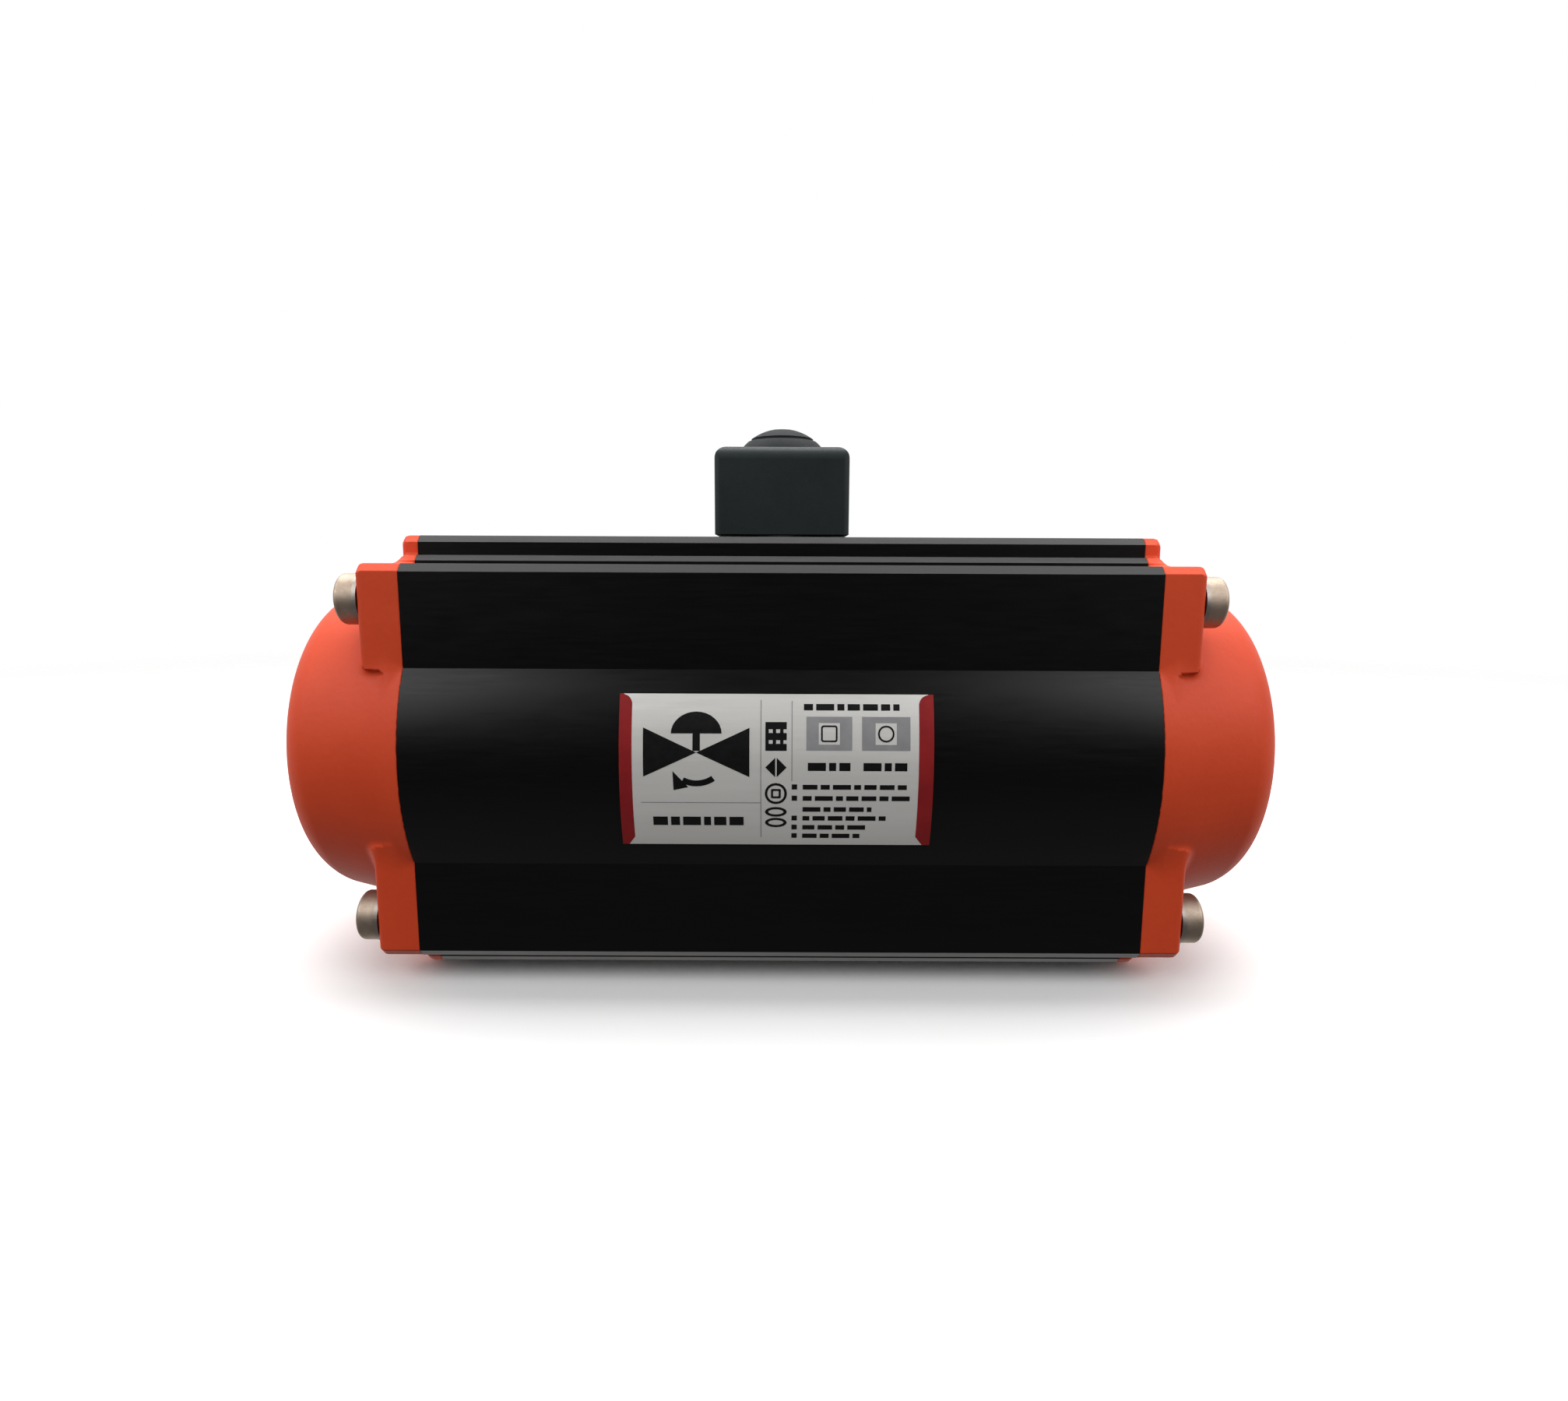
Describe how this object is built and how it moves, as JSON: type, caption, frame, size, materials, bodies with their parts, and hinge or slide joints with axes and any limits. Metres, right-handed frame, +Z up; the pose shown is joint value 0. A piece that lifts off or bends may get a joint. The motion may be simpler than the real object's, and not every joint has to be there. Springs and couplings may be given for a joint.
{
  "type": "rotary pneumatic actuator",
  "caption": "Quarter-turn rack-and-pinion pneumatic actuator: black extruded cylinder body, domed orange end caps, square position indicator and name plate.",
  "frame": {"origin": "on the drive axis, at the valve mounting face", "axes": "+Z up along the drive axis, +X along the cylinder bore, name plate on -Y and air ports on +Y"},
  "size_m": [0.2762, 0.1187, 0.1477],
  "materials": {
    "black_anodised": "satin black anodised extrusion",
    "orange_paint": "satin orange-red powder coat on a die casting",
    "zinc_steel": "bright stainless steel fasteners",
    "washer_steel": "polished steel washers",
    "spring_steel": "black phosphated spring steel",
    "nickel_steel": "nickel-plated steel",
    "cast_aluminium": "machined die-cast aluminium",
    "name_plate": "silver printed plate",
    "nitrile": "black nitrile seals",
    "bearing_plastic": "white acetal bearings and guides",
    "indicator_plastic": "dark slate moulded plastic",
    "knob_plastic": "dark grey moulded plastic"
  },
  "bodies": {
    "body": {"housing": "black_anodised", "end_cap_left": "orange_paint", "end_cap_right": "orange_paint", "end_cap_seal_left": "nitrile", "end_cap_seal_right": "nitrile", "cap_screws_left": "zinc_steel", "cap_screws_right": "zinc_steel", "cap_washers_left": "washer_steel", "cap_washers_right": "washer_steel", "name_plate": "name_plate", "top_bearing": "bearing_plastic", "bottom_bearing": "bearing_plastic", "thrust_bearing": "bearing_plastic", "stop_seal_left": "nitrile", "stop_seal_right": "nitrile", "stop_nut_left": "zinc_steel", "stop_nut_right": "zinc_steel"},
    "drive": {"pinion": "nickel_steel", "stop_cam": "nickel_steel", "pinion_seal_top": "nitrile", "pinion_seal_bottom": "nitrile", "thrust_washer": "washer_steel", "snap_ring": "spring_steel", "dust_seal": "nitrile", "indicator_block": "indicator_plastic", "indicator_knob": "knob_plastic", "indicator_screw": "zinc_steel"},
    "left_piston": {"piston_left": "cast_aluminium", "piston_seal_left": "nitrile", "piston_band_left": "bearing_plastic", "rack_guide_left": "bearing_plastic"},
    "right_piston": {"piston_right": "cast_aluminium", "piston_seal_right": "nitrile", "piston_band_right": "bearing_plastic", "rack_guide_right": "bearing_plastic"},
    "left_stop": {"stop_screw_left": "zinc_steel"},
    "right_stop": {"stop_screw_right": "zinc_steel"}
  },
  "joints": [
    {"name": "drive_turn", "type": "hinge", "parent": "body", "child": "drive", "pos_m": [0, 0, 0.05825], "axis": [0, 0, 1], "range_deg": [0, 90]},
    {"name": "left_piston_slide", "type": "slide", "parent": "body", "child": "left_piston", "axis": [-1, 0, 0], "range_m": [0, 0.0283]},
    {"name": "right_piston_slide", "type": "slide", "parent": "body", "child": "right_piston", "axis": [1, 0, 0], "range_m": [0, 0.0283]},
    {"name": "left_stop_adjust", "type": "slide", "parent": "body", "child": "left_stop", "axis": [0, 1, 0], "range_m": [0, 0.004]},
    {"name": "right_stop_adjust", "type": "slide", "parent": "body", "child": "right_stop", "axis": [0, 1, 0], "range_m": [0, 0.004]}
  ],
  "couplings": [
    {"joint": "left_piston_slide", "follows": "drive_turn", "m_per_rad": 0.018},
    {"joint": "right_piston_slide", "follows": "drive_turn", "m_per_rad": 0.018}
  ]
}
